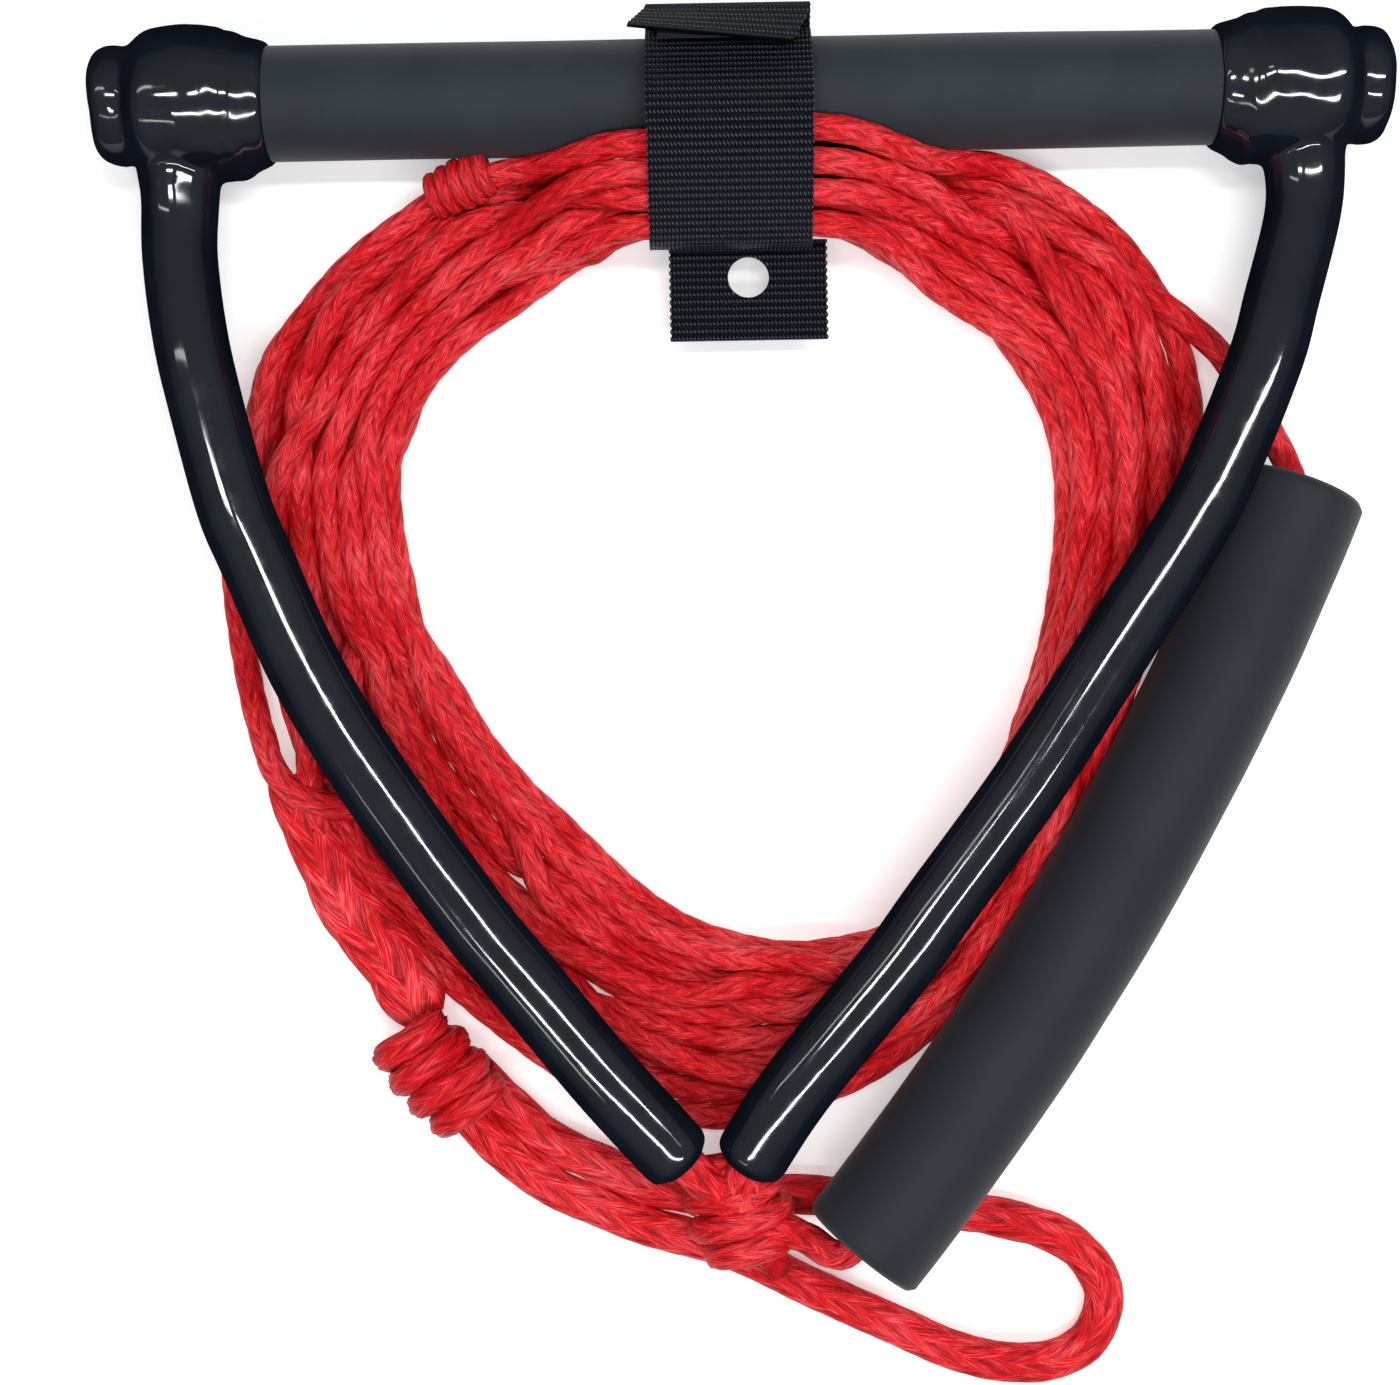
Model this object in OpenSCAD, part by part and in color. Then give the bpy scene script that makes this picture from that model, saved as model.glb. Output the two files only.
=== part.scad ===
// Tow rope handle: foam-gripped bar with two vinyl-coated bridle arms, a float on the tow line,
// the line wound into a coil, and a hook-and-loop keeper strap round coil and bar.
// It lies flat, as it is stored. The origin is the middle of the bar's axis, +X runs along the bar,
// the bridle points towards -Y, and +Z points up from the surface that it lies on.

/* [Handle bar] */
// Length over both dipped ends
handle_len = 328; // [324:1:334]
// Outside diameter of the foam grip
grip_d = 28.5; // [28:0.5:29]
// Outside diameter of the aluminium tube
tube_d = 22; // [20:0.5:23]
// Wall thickness of the aluminium tube
tube_wall = 2; // [1.5:0.1:3]
// Diameter of the dipped ball over each rope eye
collar_d = 39; // [38:0.5:40]
// Diameter of the dipped disc at each end
disc_d = 29; // [28.5:0.5:30]
// Thickness of the vinyl dip
dip = 1.4; // [1:0.1:1.6]

/* [Bridle arms] */
// Diameter of a coated arm next to the bar
arm_root_d = 18.6; // [17:0.2:18.6]
// Diameter of a coated arm next to its tip
arm_tip_d = 18.6; // [16:0.2:18.6]
// Diameter of the doubled bridle rope inside an arm
bridle_rope_d = 11.6; // [10:0.2:11.8]

/* [Float] */
// Outside diameter of the float
float_d = 33; // [30:0.5:33]
// Bore of the float
float_bore_d = 16; // [14:0.5:20]
// Straight distance between the float's two ends
float_len = 224; // [200:1:226]
// Angle that the float bends through from end to end
float_bow = 17; // [8:1:20]

/* [Rope] */
// Diameter of the tow line
rope_d = 7; // [6:0.5:7]
// Height of the wound coil
coil_h = 18; // [12:0.5:18]

/* [Keeper strap] */
// Width of the webbing
strap_w = 41; // [38:0.5:44]
// Thickness of the webbing
strap_t = 1.8; // [1.4:0.1:2]
// Length of the hanging tail
tail_len = 22.5; // [20:0.5:30]
// Diameter of the hanging hole in the tail
hole_d = 10.6; // [8:0.1:10.6]
// Length of the pull tab
tab_len = 11; // [9:0.5:13]

/* [Hidden] */

$fn = 64;
gap = 0.05;

// Height of the surface that everything lies on, under the dipped balls.
floor_z = -collar_d / 2;

// Stations along the bar, measured from its middle to one end.
half_len = handle_len / 2;
disc_len = 9.5;
neck_x = half_len - disc_len;
eye_x = half_len - 20.9;
skirt_x = half_len - 44.5;
grip_half = skirt_x + 2.5;
tube_half = neck_x - 0.4;

// Rope eye round the tube.
eye_rope_r = 3.4;
eye_r = tube_d / 2 + eye_rope_r + 0.2;
slot_r = eye_rope_r + 0.2;

// End plug.
plug_r = disc_d / 2 - dip;
spigot_len = 25;

// Neck of the collar, through which the bridle rope leaves the eye.
neck_y = -24;
neck_root_r = 13.5;
neck_bore_r = bridle_rope_d / 2 + 0.6;

// Bridle routes, from the eye over the coil to the tip and down to the knot.
left_route = [
  [-eye_x, eye_root_y(), 0], [-eye_x, -24.9, 0], [-143.2, -33, 0.8], [-140.6, -55, 5.4],
  [-137.2, -71, 8], [-129.4, -101, 9.6], [-110.6, -146, 9.9], [-92.6, -176, 9.9], [-71.8, -206, 9.9],
  [-39, -247, 9.4], [-19, -270, 7], [-12, -278, 2], [-7, -283, -1]
];
right_route = [
  [eye_x, eye_root_y(), 0], [eye_x, -24.9, 0], [142.3, -33, 0.8], [135.2, -55, 5.4], [130, -71, 8],
  [116.6, -101, 9.6], [88.4, -146, 9.9], [68.3, -176, 9.9], [45.7, -206, 9.9], [9.5, -251, 9.4],
  [-3.8, -271, 7], [-5.5, -277.5, 3], [-3, -283, -1]
];
bridle_steps = 2;
coat_first = bridle_steps;
coat_last = bridle_steps * 10;
coat_inner_r = bridle_rope_d / 2 + 0.4;

// Knot that joins both bridle ropes, the tow line and the end loop.
bridle_knot_at = [-2, -287, -2.4];
bridle_knot_r = 13;
bridle_knot_half_h = 9.5;

// Float: middle of the straight line between its ends, its heading and its slope.
float_mid = [83.4, -198, 1.4];
float_turn = -31.4;
float_slope = -2.1;
float_bend_r = float_len / 2 / sin(float_bow / 2);

// Tow line: from the bridle knot up into the float's lower end.
lower_bend = [[6.5, -292, -1], [13.5, -300, 1], [19, -302, 3.8]];
run_last = 0.42;
// Tow line: out of the float's upper end, under the right arm and on to the coil.
mouth_bend = [
  [140, -103, -3.6], [136.5, -90, -6.5], [129.5, -76.5, -9], [119.5, -62, -11], [108.5, -48, -11]
];

// Coil: middle of the hole and the two outlines, as distances from it every 30 degrees.
coil_at = [-9.2, -129];
coil_outer = [112, 145, 137, 125, 129, 132, 122, 117, 121, 136, 116, 103];
coil_inner = [85, 96, 94, 91, 90, 88, 76, 65, 67, 81, 90, 83];
bar_clearance = 0.5;
// The coil ends under the bar, this far short of the bar's axis.
coil_top_y = -12;

// Part of the line that lies outside the coil on the left and passes through the end splice's eye.
eye_run_route = [
  [-131, -92, -15.5], [-133.5, -112, -15.5], [-132.5, -132, -15.5], [-129.5, -151, -14.5],
  [-125, -165, -12.5], [-117, -175, -11], [-108, -179, -10.5]
];
// Thick spliced rope that runs down to the stopper knot.
splice_route = [
  [-125.5, -172, -13.3], [-118.5, -191, -13.3], [-108.5, -210, -13.3], [-97.5, -227, -13.3],
  [-87.5, -240, -13.3]
];
splice_r = 6;
end_knot_at = [-81, -248, -7.5];
end_knot_r = 13;
end_knot_half_h = 11.5;
// Long loop for the boat's tow hook, both legs under the bridle knot.
loop_route = [
  [-75, -256, -15.9], [-57, -270.5, -15.9], [-36, -281, -15.9], [-17, -284.5, -15.9], [7, -283, -15.9],
  [31, -280, -15.9], [52, -283.5, -15.9], [69, -289, -15.9], [83, -298, -15.9], [91.5, -309, -15.9],
  [89, -321, -15.9], [77, -327.5, -15.9], [58, -326.5, -15.9], [32, -318, -15.9], [10, -307.5, -15.9],
  [-5, -300, -15.9], [-21, -296.5, -15.9], [-40, -290, -15.9], [-60, -278, -15.9], [-76, -263, -15.9],
  [-81, -255, -15.9]
];
whipping_route = [[-83, -31, -4], [-74, -26, -4], [-65, -22.5, -4]];
whipping_r = 6;

// Keeper strap: the band's middle line in the YZ plane, closed round coil and bar.
strap_x = -3.2;
band_route = [
  [-30, -17.4], [-24, -18.4], [-12, -18.4], [-1, -18.3], [10, -14.5], [15.6, -5.5], [15.9, 3.5],
  [11.6, 11.4], [4.6, 16.3], [-2, 20.1], [-9, 21.6], [-16.5, 19.2], [-24, 14.2], [-31, 8.6], [-36.6, 3],
  [-37.2, -4], [-34.5, -12.5]
];
// Tail and pull tab: each turns about a line along X.
tail_x = 1.3;
tail_w = strap_w - 0.5;
tail_hinge = [-38.3, -9];
tab_hinge = [19, 12.4];
tab_lift = 36;
hole_y = -44.6;
// Stub on the band that carries the pull tab's crease, clear of the tab's rounded root.
stub_root = [15.4, 6.2];
stub_top = tab_hinge - [0, 1.3];
patch_t = 0.6;

function eye_root_y() = -(eye_r + eye_rope_r + 0.3);
function unit(v) = v / norm(v);
function turned(v, deg) = [v[0] * cos(deg) - v[1] * sin(deg), v[0] * sin(deg) + v[1] * cos(deg)];

// A point on the smooth curve between b and c, with a and d as the points before and after.
function curve_point(a, b, c, d, t) =
  0.5 * (2 * b + (c - a) * t + (2 * a - 5 * b + 4 * c - d) * t * t + (3 * b - a - 3 * c + d) * t * t * t);
function smooth(route, steps) = [
  for (i = [0 : len(route) - 2], k = [0 : steps - 1])
    curve_point(route[max(i - 1, 0)], route[i], route[i + 1], route[min(i + 2, len(route) - 1)], k / steps),
  route[len(route) - 1]
];
function smooth_closed(route, steps) = [
  for (i = [0 : len(route) - 1], k = [0 : steps - 1])
    let (n = len(route))
    curve_point(route[(i + n - 1) % n], route[i], route[(i + 1) % n], route[(i + 2) % n], k / steps)
];

// One ring of points round path[i], level with the ground where the path is level.
function ring(path, i, r, sides, closed = false) =
  let (
    n = len(path),
    before = closed ? path[(i + n - 1) % n] : path[max(i - 1, 0)],
    after = closed ? path[(i + 1) % n] : path[min(i + 1, n - 1)],
    along = unit(after - before),
    across = unit(cross([0, 0, 1], along)),
    up = cross(along, across)
  )
  [for (k = [0 : sides - 1]) path[i] + r * (cos(360 * k / sides) * across + sin(360 * k / sides) * up)];

// Triangles of the skin between ring i and ring j of a tube, wound outwards, or inwards if flip is set.
function skin(i, j, sides, flip = false) = [
  for (k = [0 : sides - 1])
    let (n = (k + 1) % sides, a = i * sides + k, b = i * sides + n, c = j * sides + k, d = j * sides + n)
    for (t = [[a, c, b], [b, c, d]]) flip ? [t[0], t[2], t[1]] : t
];

// Solid tube of radius radii[i] at path[i].
module rope_tube(path, radii, sides) {
  n = len(path);
  points = [for (i = [0 : n - 1]) each ring(path, i, radii[i], sides)];
  sides_faces = [for (i = [0 : n - 2]) each skin(i, i + 1, sides)];
  first_face = [for (k = [0 : sides - 1]) k];
  last_face = [for (k = [sides - 1 : -1 : 0]) (n - 1) * sides + k];
  polyhedron(points, concat([first_face], sides_faces, [last_face]));
}

// Ring-shaped tube that closes on itself.
module closed_rope_tube(path, r, sides) {
  n = len(path);
  points = [for (i = [0 : n - 1]) each ring(path, i, r, sides, true)];
  polyhedron(points, [for (i = [0 : n - 1]) each skin(i, (i + 1) % n, sides)]);
}

// Open sleeve with outside radius radii[i] at path[i] and one inside radius.
module sleeve(path, radii, inner_r, sides) {
  n = len(path);
  outer = [for (i = [0 : n - 1]) each ring(path, i, radii[i], sides)];
  inner = [for (i = [0 : n - 1]) each ring(path, i, inner_r, sides)];
  outer_faces = [for (i = [0 : n - 2]) each skin(i, i + 1, sides)];
  inner_faces = [for (i = [0 : n - 2]) each skin(n + i, n + i + 1, sides, true)];
  mouth_faces = skin(n, 0, sides);
  tip_faces = skin(n - 1, 2 * n - 1, sides);
  polyhedron(concat(outer, inner), concat(outer_faces, inner_faces, mouth_faces, tip_faces));
}

// Cylinder or revolved outline about the bar's axis: the outline's first number is the place along +X.
module along_bar() { rotate([0, 90, 0]) children(); }
module revolved(outline) {
  along_bar() rotate_extrude() polygon([for (p = outline) [p[1], p[0]]]);
}
module mirrored_if(left) { mirror([left ? 1 : 0, 0, 0]) children(); }

module core_tube() {
  color("silver") along_bar() difference() {
    cylinder(d = tube_d, h = 2 * tube_half, center = true);
    cylinder(d = tube_d - 2 * tube_wall, h = handle_len, center = true);
  }
}

module grip_sleeve() {
  color("dimgray") along_bar() difference() {
    cylinder(d = grip_d, h = 2 * grip_half, center = true);
    cylinder(d = tube_d + 2 * gap, h = handle_len, center = true);
  }
}

module end_plug() {
  spigot_r = tube_d / 2 - tube_wall - gap;
  revolved([
    [tube_half - spigot_len, 0], [tube_half - spigot_len, spigot_r], [neck_x, spigot_r],
    [neck_x, plug_r - 1], [neck_x + 1, plug_r], [half_len - dip - 1, plug_r],
    [half_len - dip - gap, plug_r - 1], [half_len - dip - gap, 0]
  ]);
}
module left_end_plug() { color("darkslategray") mirrored_if(true) end_plug(); }
module right_end_plug() { color("darkslategray") mirrored_if(false) end_plug(); }

module rope_eye() {
  translate([eye_x, 0, 0]) along_bar() rotate_extrude() translate([eye_r, 0]) circle(eye_rope_r);
}
module left_rope_eye() { color("crimson") mirrored_if(true) rope_eye(); }
module right_rope_eye() { color("crimson") mirrored_if(false) rope_eye(); }

// Outside of the dip: skirt over the grip's end, ball over the eye, groove, and disc over the plug.
ball_r = collar_d / 2;
disc_r = disc_d / 2;
skirt_r = grip_d / 2 + 0.9;
ball_half = 12.5;
disc_round = 2.6;
ball_outline = [
  for (a = [-70 : 10 : 70])
    [eye_x - 1.8 + ball_half * sin(a), disc_r - 0.8 + (ball_r - disc_r + 0.8) * cos(a)]
];
disc_outline = [
  for (a = [90 : -15 : 0])
    [half_len - disc_round + disc_round * cos(a), disc_r - disc_round + disc_round * sin(a)]
];
collar_outside = concat(
  [[skirt_x, 0], [skirt_x, skirt_r]],
  ball_outline,
  [[neck_x, disc_r - 0.8], [neck_x + 1.5, disc_r]],
  disc_outline,
  [[half_len, 0]]
);
collar_inside = concat(
  [[skirt_x - 1, 0], [skirt_x - 1, grip_d / 2 + gap], [grip_half + gap, grip_d / 2 + gap]],
  [[grip_half + gap, tube_d / 2 + gap], [eye_x - slot_r, tube_d / 2 + gap]],
  [for (a = [180 : -15 : 0]) [eye_x + slot_r * cos(a), eye_r + slot_r * sin(a)]],
  [[eye_x + slot_r, tube_d / 2 + gap], [neck_x - gap, tube_d / 2 + gap], [neck_x - gap, plug_r + gap]],
  [[half_len - dip, plug_r + gap], [half_len - dip, 0]]
);

module collar() {
  difference() {
    union() {
      revolved(collar_outside);
      translate([eye_x, 0, 0]) rotate([90, 0, 0])
        cylinder(r1 = neck_root_r, r2 = arm_root_d / 2 + 0.3, h = -neck_y);
    }
    revolved(collar_inside);
    translate([eye_x, 0, 0]) rotate([90, 0, 0]) cylinder(r = neck_bore_r, h = -neck_y + 1);
  }
}
module left_collar() { color([0.06, 0.07, 0.09]) mirrored_if(true) collar(); }
module right_collar() { color([0.06, 0.07, 0.09]) mirrored_if(false) collar(); }

module bridle_rope(route) {
  path = smooth(route, bridle_steps);
  rope_tube(path, [for (p = path) bridle_rope_d / 2], 12);
}
module left_bridle_rope() { color("firebrick") bridle_rope(left_route); }
module right_bridle_rope() { color("firebrick") bridle_rope(right_route); }

// The coat is a slice of the bridle rope's own path, tapered to its tip and closed in round the rope.
module arm_coat(route) {
  whole = smooth(route, bridle_steps);
  path = [for (i = [coat_first : coat_last]) whole[i]];
  n = len(path);
  tip_r = coat_inner_r + 0.9;
  radii = [
    for (i = [0 : n - 1])
      i == n - 1 ? tip_r : arm_root_d / 2 + (arm_tip_d - arm_root_d) / 2 * i / (n - 2)
  ];
  sleeve(path, radii, coat_inner_r, 16);
}
module left_arm_coat() { color([0.06, 0.07, 0.09]) arm_coat(left_route); }
module right_arm_coat() { color([0.06, 0.07, 0.09]) arm_coat(right_route); }

// Round knot, flattened from above.
module flat_ball(at, r, half_h) {
  translate(at) rotate_extrude() polygon([for (a = [-90 : 10 : 90]) [r * cos(a), half_h * sin(a)]]);
}
module bridle_knot() { color("crimson") flat_ball(bridle_knot_at, bridle_knot_r, bridle_knot_half_h); }

// The float's own frame: its ends at -Y and +Y, bowed towards +X.
module in_float_frame() {
  translate(float_mid) rotate([float_slope, 0, float_turn]) children();
}
// A point on the float's axis, from -0.5 at the lower end to 0.5 at the upper end.
function float_axis(s) =
  let (
    a = float_bow * s,
    x = float_bend_r * (cos(a) - cos(float_bow / 2)),
    y = float_bend_r * sin(a),
    flat = turned([x, y * cos(float_slope)], float_turn)
  )
  [float_mid[0] + flat[0], float_mid[1] + flat[1], float_mid[2] + y * sin(float_slope)];

module float_tube() {
  color("dimgray") in_float_frame() translate([-float_bend_r * cos(float_bow / 2), 0, 0])
    rotate([0, 0, -float_bow / 2]) rotate_extrude(angle = float_bow) translate([float_bend_r, 0])
      difference() {
        circle(d = float_d);
        circle(d = float_bore_d);
      }
}

module line_float_run() {
  inside_float = [for (s = [-0.5 : 0.13 : run_last]) float_axis(s)];
  run = concat(smooth(lower_bend, 2), inside_float, [float_axis(run_last)]);
  color("red") rope_tube(run, [for (p = run) rope_d / 2], 8);
}

module line_mouth_run() {
  run = smooth(concat([float_axis(run_last + 0.005)], mouth_bend), 2);
  color("red") rope_tube(run, [for (p = run) rope_d / 2], 8);
}

function coil_outline(radii) =
  smooth_closed([for (i = [0 : 11]) coil_at + radii[i] * [cos(30 * i), sin(30 * i)]], 4);

module line_coil() {
  strap_side = strap_x - strap_w / 2 - 1;
  tail_side = tail_x + strap_w / 2 + 1;
  color("red") difference() {
    translate([0, 0, floor_z]) linear_extrude(coil_h) difference() {
      polygon(coil_outline(coil_outer));
      polygon(coil_outline(coil_inner));
    }
    // Room for the bar, and for the strap and its tail.
    along_bar() cylinder(r = grip_d / 2 + bar_clearance, h = handle_len, center = true);
    translate([-handle_len / 2, coil_top_y, floor_z - 1]) cube([handle_len, 2 * grip_d, coil_h + 2]);
    difference() {
      translate([strap_side, -70, floor_z - 1]) cube([tail_side - strap_side, 90, coil_h + 2]);
      across_bar(strap_x, 2 * strap_w) polygon(band_edge(-1.5));
    }
  }
}

module line_whipping() {
  path = smooth(whipping_route, 2);
  last = len(path) - 1;
  radii = [for (i = [0 : last]) i % last == 0 ? rope_d / 2 : whipping_r];
  color("darkred") rope_tube(path, radii, 8);
}

module line_eye_run() {
  path = smooth(eye_run_route, 2);
  color("red") rope_tube(path, [for (p = path) rope_d / 2], 8);
}

module end_splice() {
  path = smooth(splice_route, 2);
  color("firebrick") rope_tube(path, [for (p = path) splice_r], 10);
}

module end_knot() { color("crimson") flat_ball(end_knot_at, end_knot_r, end_knot_half_h); }

module end_loop() { color("red") closed_rope_tube(smooth_closed(loop_route, 1), rope_d / 2, 8); }

// Extrude an outline drawn in the YZ plane along X, centred on x.
module across_bar(x, width) {
  translate([x - width / 2, 0, 0]) rotate([90, 0, 90]) linear_extrude(width) children();
}

// Both edges of the band, half the webbing's thickness either side of its middle line.
function band_edge(side) =
  let (line = smooth_closed(band_route, 4), n = len(line))
  [
    for (i = [0 : n - 1])
      let (along = unit(line[(i + 1) % n] - line[(i + n - 1) % n]))
      line[i] + side * strap_t / 2 * turned(along, -90)
  ];

module strap_band() {
  color("black") across_bar(strap_x, strap_w) {
    difference() {
      polygon(band_edge(1));
      polygon(band_edge(-1));
    }
    half_t = [strap_t / 2, 0];
    polygon([stub_root, stub_root + half_t - [0, 1.5], stub_top + half_t, stub_top - half_t]);
  }
}

// A flap of webbing with a round root on its hinge line, reaching towards -Y and raised by lift degrees.
module flap(x, hinge, length, width, lift) {
  across_bar(x, width) translate(hinge) rotate(-lift) {
    circle(d = strap_t, $fn = 32);
    translate([-length, -strap_t / 2]) square([length, strap_t]);
  }
}

module strap_tail() {
  color("black") difference() {
    flap(tail_x, tail_hinge, tail_len, tail_w, 0);
    translate([tail_x, hole_y, tail_hinge[1] - strap_t]) cylinder(d = hole_d, h = 2 * strap_t);
  }
}

module strap_tab() { color("black") flap(strap_x, tab_hinge, tab_len, strap_w, tab_lift); }

// Hook tape under the pull tab, which grips the loop webbing below.
module strap_hook_patch() {
  color("gray") across_bar(strap_x, strap_w - 6) translate(tab_hinge) rotate(-tab_lift)
    translate([-tab_len + 1, -strap_t / 2 - patch_t]) square([tab_len - 4, patch_t]);
}

core_tube();
grip_sleeve();
left_end_plug();
right_end_plug();
left_rope_eye();
right_rope_eye();
left_collar();
right_collar();
left_bridle_rope();
right_bridle_rope();
left_arm_coat();
right_arm_coat();
bridle_knot();
float_tube();
line_float_run();
line_mouth_run();
line_coil();
line_whipping();
line_eye_run();
end_splice();
end_knot();
end_loop();
strap_band();
strap_tail();
strap_tab();
strap_hook_patch();
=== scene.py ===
"""Looks of the tow rope handle: braided line, dipped vinyl, foam and webbing around the fixed CAD frame."""

import math

import bmesh
import bpy
import numpy as np
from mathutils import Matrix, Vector, noise


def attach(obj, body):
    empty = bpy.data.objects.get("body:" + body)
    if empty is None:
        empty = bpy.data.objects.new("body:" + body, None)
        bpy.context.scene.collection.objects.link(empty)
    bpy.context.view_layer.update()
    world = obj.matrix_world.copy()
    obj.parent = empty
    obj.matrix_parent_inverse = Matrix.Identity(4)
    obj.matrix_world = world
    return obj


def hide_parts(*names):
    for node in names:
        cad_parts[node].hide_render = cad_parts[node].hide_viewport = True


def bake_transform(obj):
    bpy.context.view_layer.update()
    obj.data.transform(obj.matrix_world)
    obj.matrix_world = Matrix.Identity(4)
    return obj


FLOOR_Z = -0.0195

# The bar and what is on it.
GRIP_RADIUS = 0.01425
GRIP_HALF = 0.122

# The dip over the end of the bar, as (distance from the bar's middle, radius).
DIP_OUTLINE = (
    (0.1195, 0.0), (0.1195, 0.0149), (0.1208, 0.0157), (0.1235, 0.0164), (0.1260, 0.0172), (0.1285, 0.0182),
    (0.1310, 0.0189), (0.1340, 0.0194), (0.1370, 0.0197), (0.1400, 0.0198), (0.1440, 0.0196),
    (0.1480, 0.0192), (0.1500, 0.0186), (0.1515, 0.0176), (0.1530, 0.0160), (0.1542, 0.0147),
    (0.1553, 0.0145), (0.1575, 0.0149), (0.1600, 0.0147), (0.1622, 0.0138), (0.1635, 0.0120),
    (0.1640, 0.0080), (0.1640, 0.0),
)

# The tow line.
ROPE_RADIUS = 0.0035
STRANDS = 8
BRIDLE_RADIUS = 0.0052
KNOT_ROPE_RADIUS = 0.0040
WHIPPING_RADIUS = 0.0019
# Length of one strand's full turn round the rope, as a multiple of the rope's radius.
PITCH_RADII = 20
CELL_STEPS = 3

# The coil: the middle of its hole, its inner and outer edge every 30 degrees, and the angles in degrees
# at which the line enters and leaves it.
COIL_MIDDLE = (-0.0092, -0.129)
COIL_INNER = (0.087, 0.098, 0.095, 0.091, 0.091, 0.090, 0.0755, 0.065, 0.068, 0.084, 0.094, 0.084)
COIL_OUTER = (0.116, 0.146, 0.138, 0.125, 0.129, 0.133, 0.119, 0.121, 0.126, 0.137, 0.124, 0.112)
STATIONS = 180
TURNS = 12
ENTRY_ANGLE = 40
LEAVE_ANGLE = 166
# How far out each turn lies across the coil's width, from 0 at the inner edge to 1 at the outer one.
TURN_PLACE = (0.97, 0.72, 0.45, 0.18, 0.04, 0.30, 0.58, 0.82, 0.62, 0.35, 0.12, 0.99)
# Places of the twelve turns in the section under the strap, as (y, z), from the outermost turn inwards.
STRAP_SLOTS = (
    (-0.0132, 0.0132), (-0.0168, -0.0122), (-0.0183, -0.0050), (-0.0187, 0.0022), (-0.0200, 0.0096),
    (-0.0240, -0.0134), (-0.0250, -0.0066), (-0.0258, 0.0008), (-0.0268, 0.0066), (-0.0313, -0.0038),
    (-0.0310, -0.0112), (-0.0333, 0.0030),
)
SLOT_SLANT = 0.13
SETTLE_ROUNDS = 420
STRAP_X = -0.0032
STRAP_HALF = 0.0205

# Routes of the line outside the coil.
MOUTH_ROUTE = (
    (0.1338, -0.1180, -0.0030), (0.1398, -0.1030, -0.0040), (0.1363, -0.0900, -0.0065),
    (0.1293, -0.0765, -0.0090), (0.1193, -0.0620, -0.0110),
)
EYE_ROUTE = (
    (-0.1339, -0.1130, -0.0158), (-0.1329, -0.1320, -0.0158), (-0.1299, -0.1500, -0.0145),
    (-0.1264, -0.1620, -0.0115), (-0.1232, -0.1700, -0.0085), (-0.1172, -0.1760, -0.0075),
    (-0.1092, -0.1790, -0.0085), (-0.1002, -0.1800, -0.0130),
)
SPLICE_ROUTE = (
    (-0.1210, -0.1720, -0.0160), (-0.1180, -0.1800, -0.0150), (-0.1115, -0.1930, -0.0140),
    (-0.1050, -0.2065, -0.0140), (-0.0935, -0.2205, -0.0130), (-0.0860, -0.2350, -0.0120),
)
SPLICE_RADIUS = 0.0096
LOOP_ROUTE = (
    (-0.0730, -0.2490, -0.0115), (-0.0670, -0.2560, -0.0150), (-0.0545, -0.2675, -0.0150),
    (-0.0415, -0.2740, -0.0150), (-0.0310, -0.2790, -0.0150), (-0.0205, -0.2820, -0.0150),
    (-0.0100, -0.2825, -0.0150), (0.0000, -0.2825, -0.0150), (0.0105, -0.2830, -0.0150),
    (0.0235, -0.2840, -0.0150), (0.0365, -0.2855, -0.0150), (0.0500, -0.2875, -0.0150),
    (0.0630, -0.2900, -0.0150), (0.0760, -0.2940, -0.0150), (0.0840, -0.2995, -0.0150),
    (0.0890, -0.3075, -0.0150), (0.0890, -0.3150, -0.0150), (0.0845, -0.3230, -0.0150),
    (0.0750, -0.3275, -0.0150), (0.0620, -0.3275, -0.0150), (0.0490, -0.3240, -0.0150),
    (0.0360, -0.3180, -0.0150), (0.0230, -0.3120, -0.0150), (0.0105, -0.3060, -0.0150),
    (0.0000, -0.3005, -0.0150), (-0.0105, -0.2960, -0.0150), (-0.0210, -0.2930, -0.0150),
    (-0.0310, -0.2900, -0.0150), (-0.0415, -0.2855, -0.0150), (-0.0545, -0.2795, -0.0150),
    (-0.0675, -0.2695, -0.0150), (-0.0770, -0.2575, -0.0115),
)
LOOP_RADIUS = 0.0053
WHIPPING_PLACE = (-0.0714, -0.0212)
STOPPER_PLACE = (-0.0817, -0.2485, -0.0072)
STOPPER_HEADING = (0.62, -0.78, 0)
BRIDLE_KNOT_PLACE = (-0.0055, -0.2845, -0.0040)
BRIDLE_KNOT_HEADING = (0.22, -0.975, 0)
LOWER_ROUTE = (
    (-0.0040, -0.2860, -0.0015), (0.0040, -0.2880, -0.0005), (0.0118, -0.2908, 0.0010),
    (0.0178, -0.2942, 0.0030), (0.0235, -0.2920, 0.0050),
)

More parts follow.
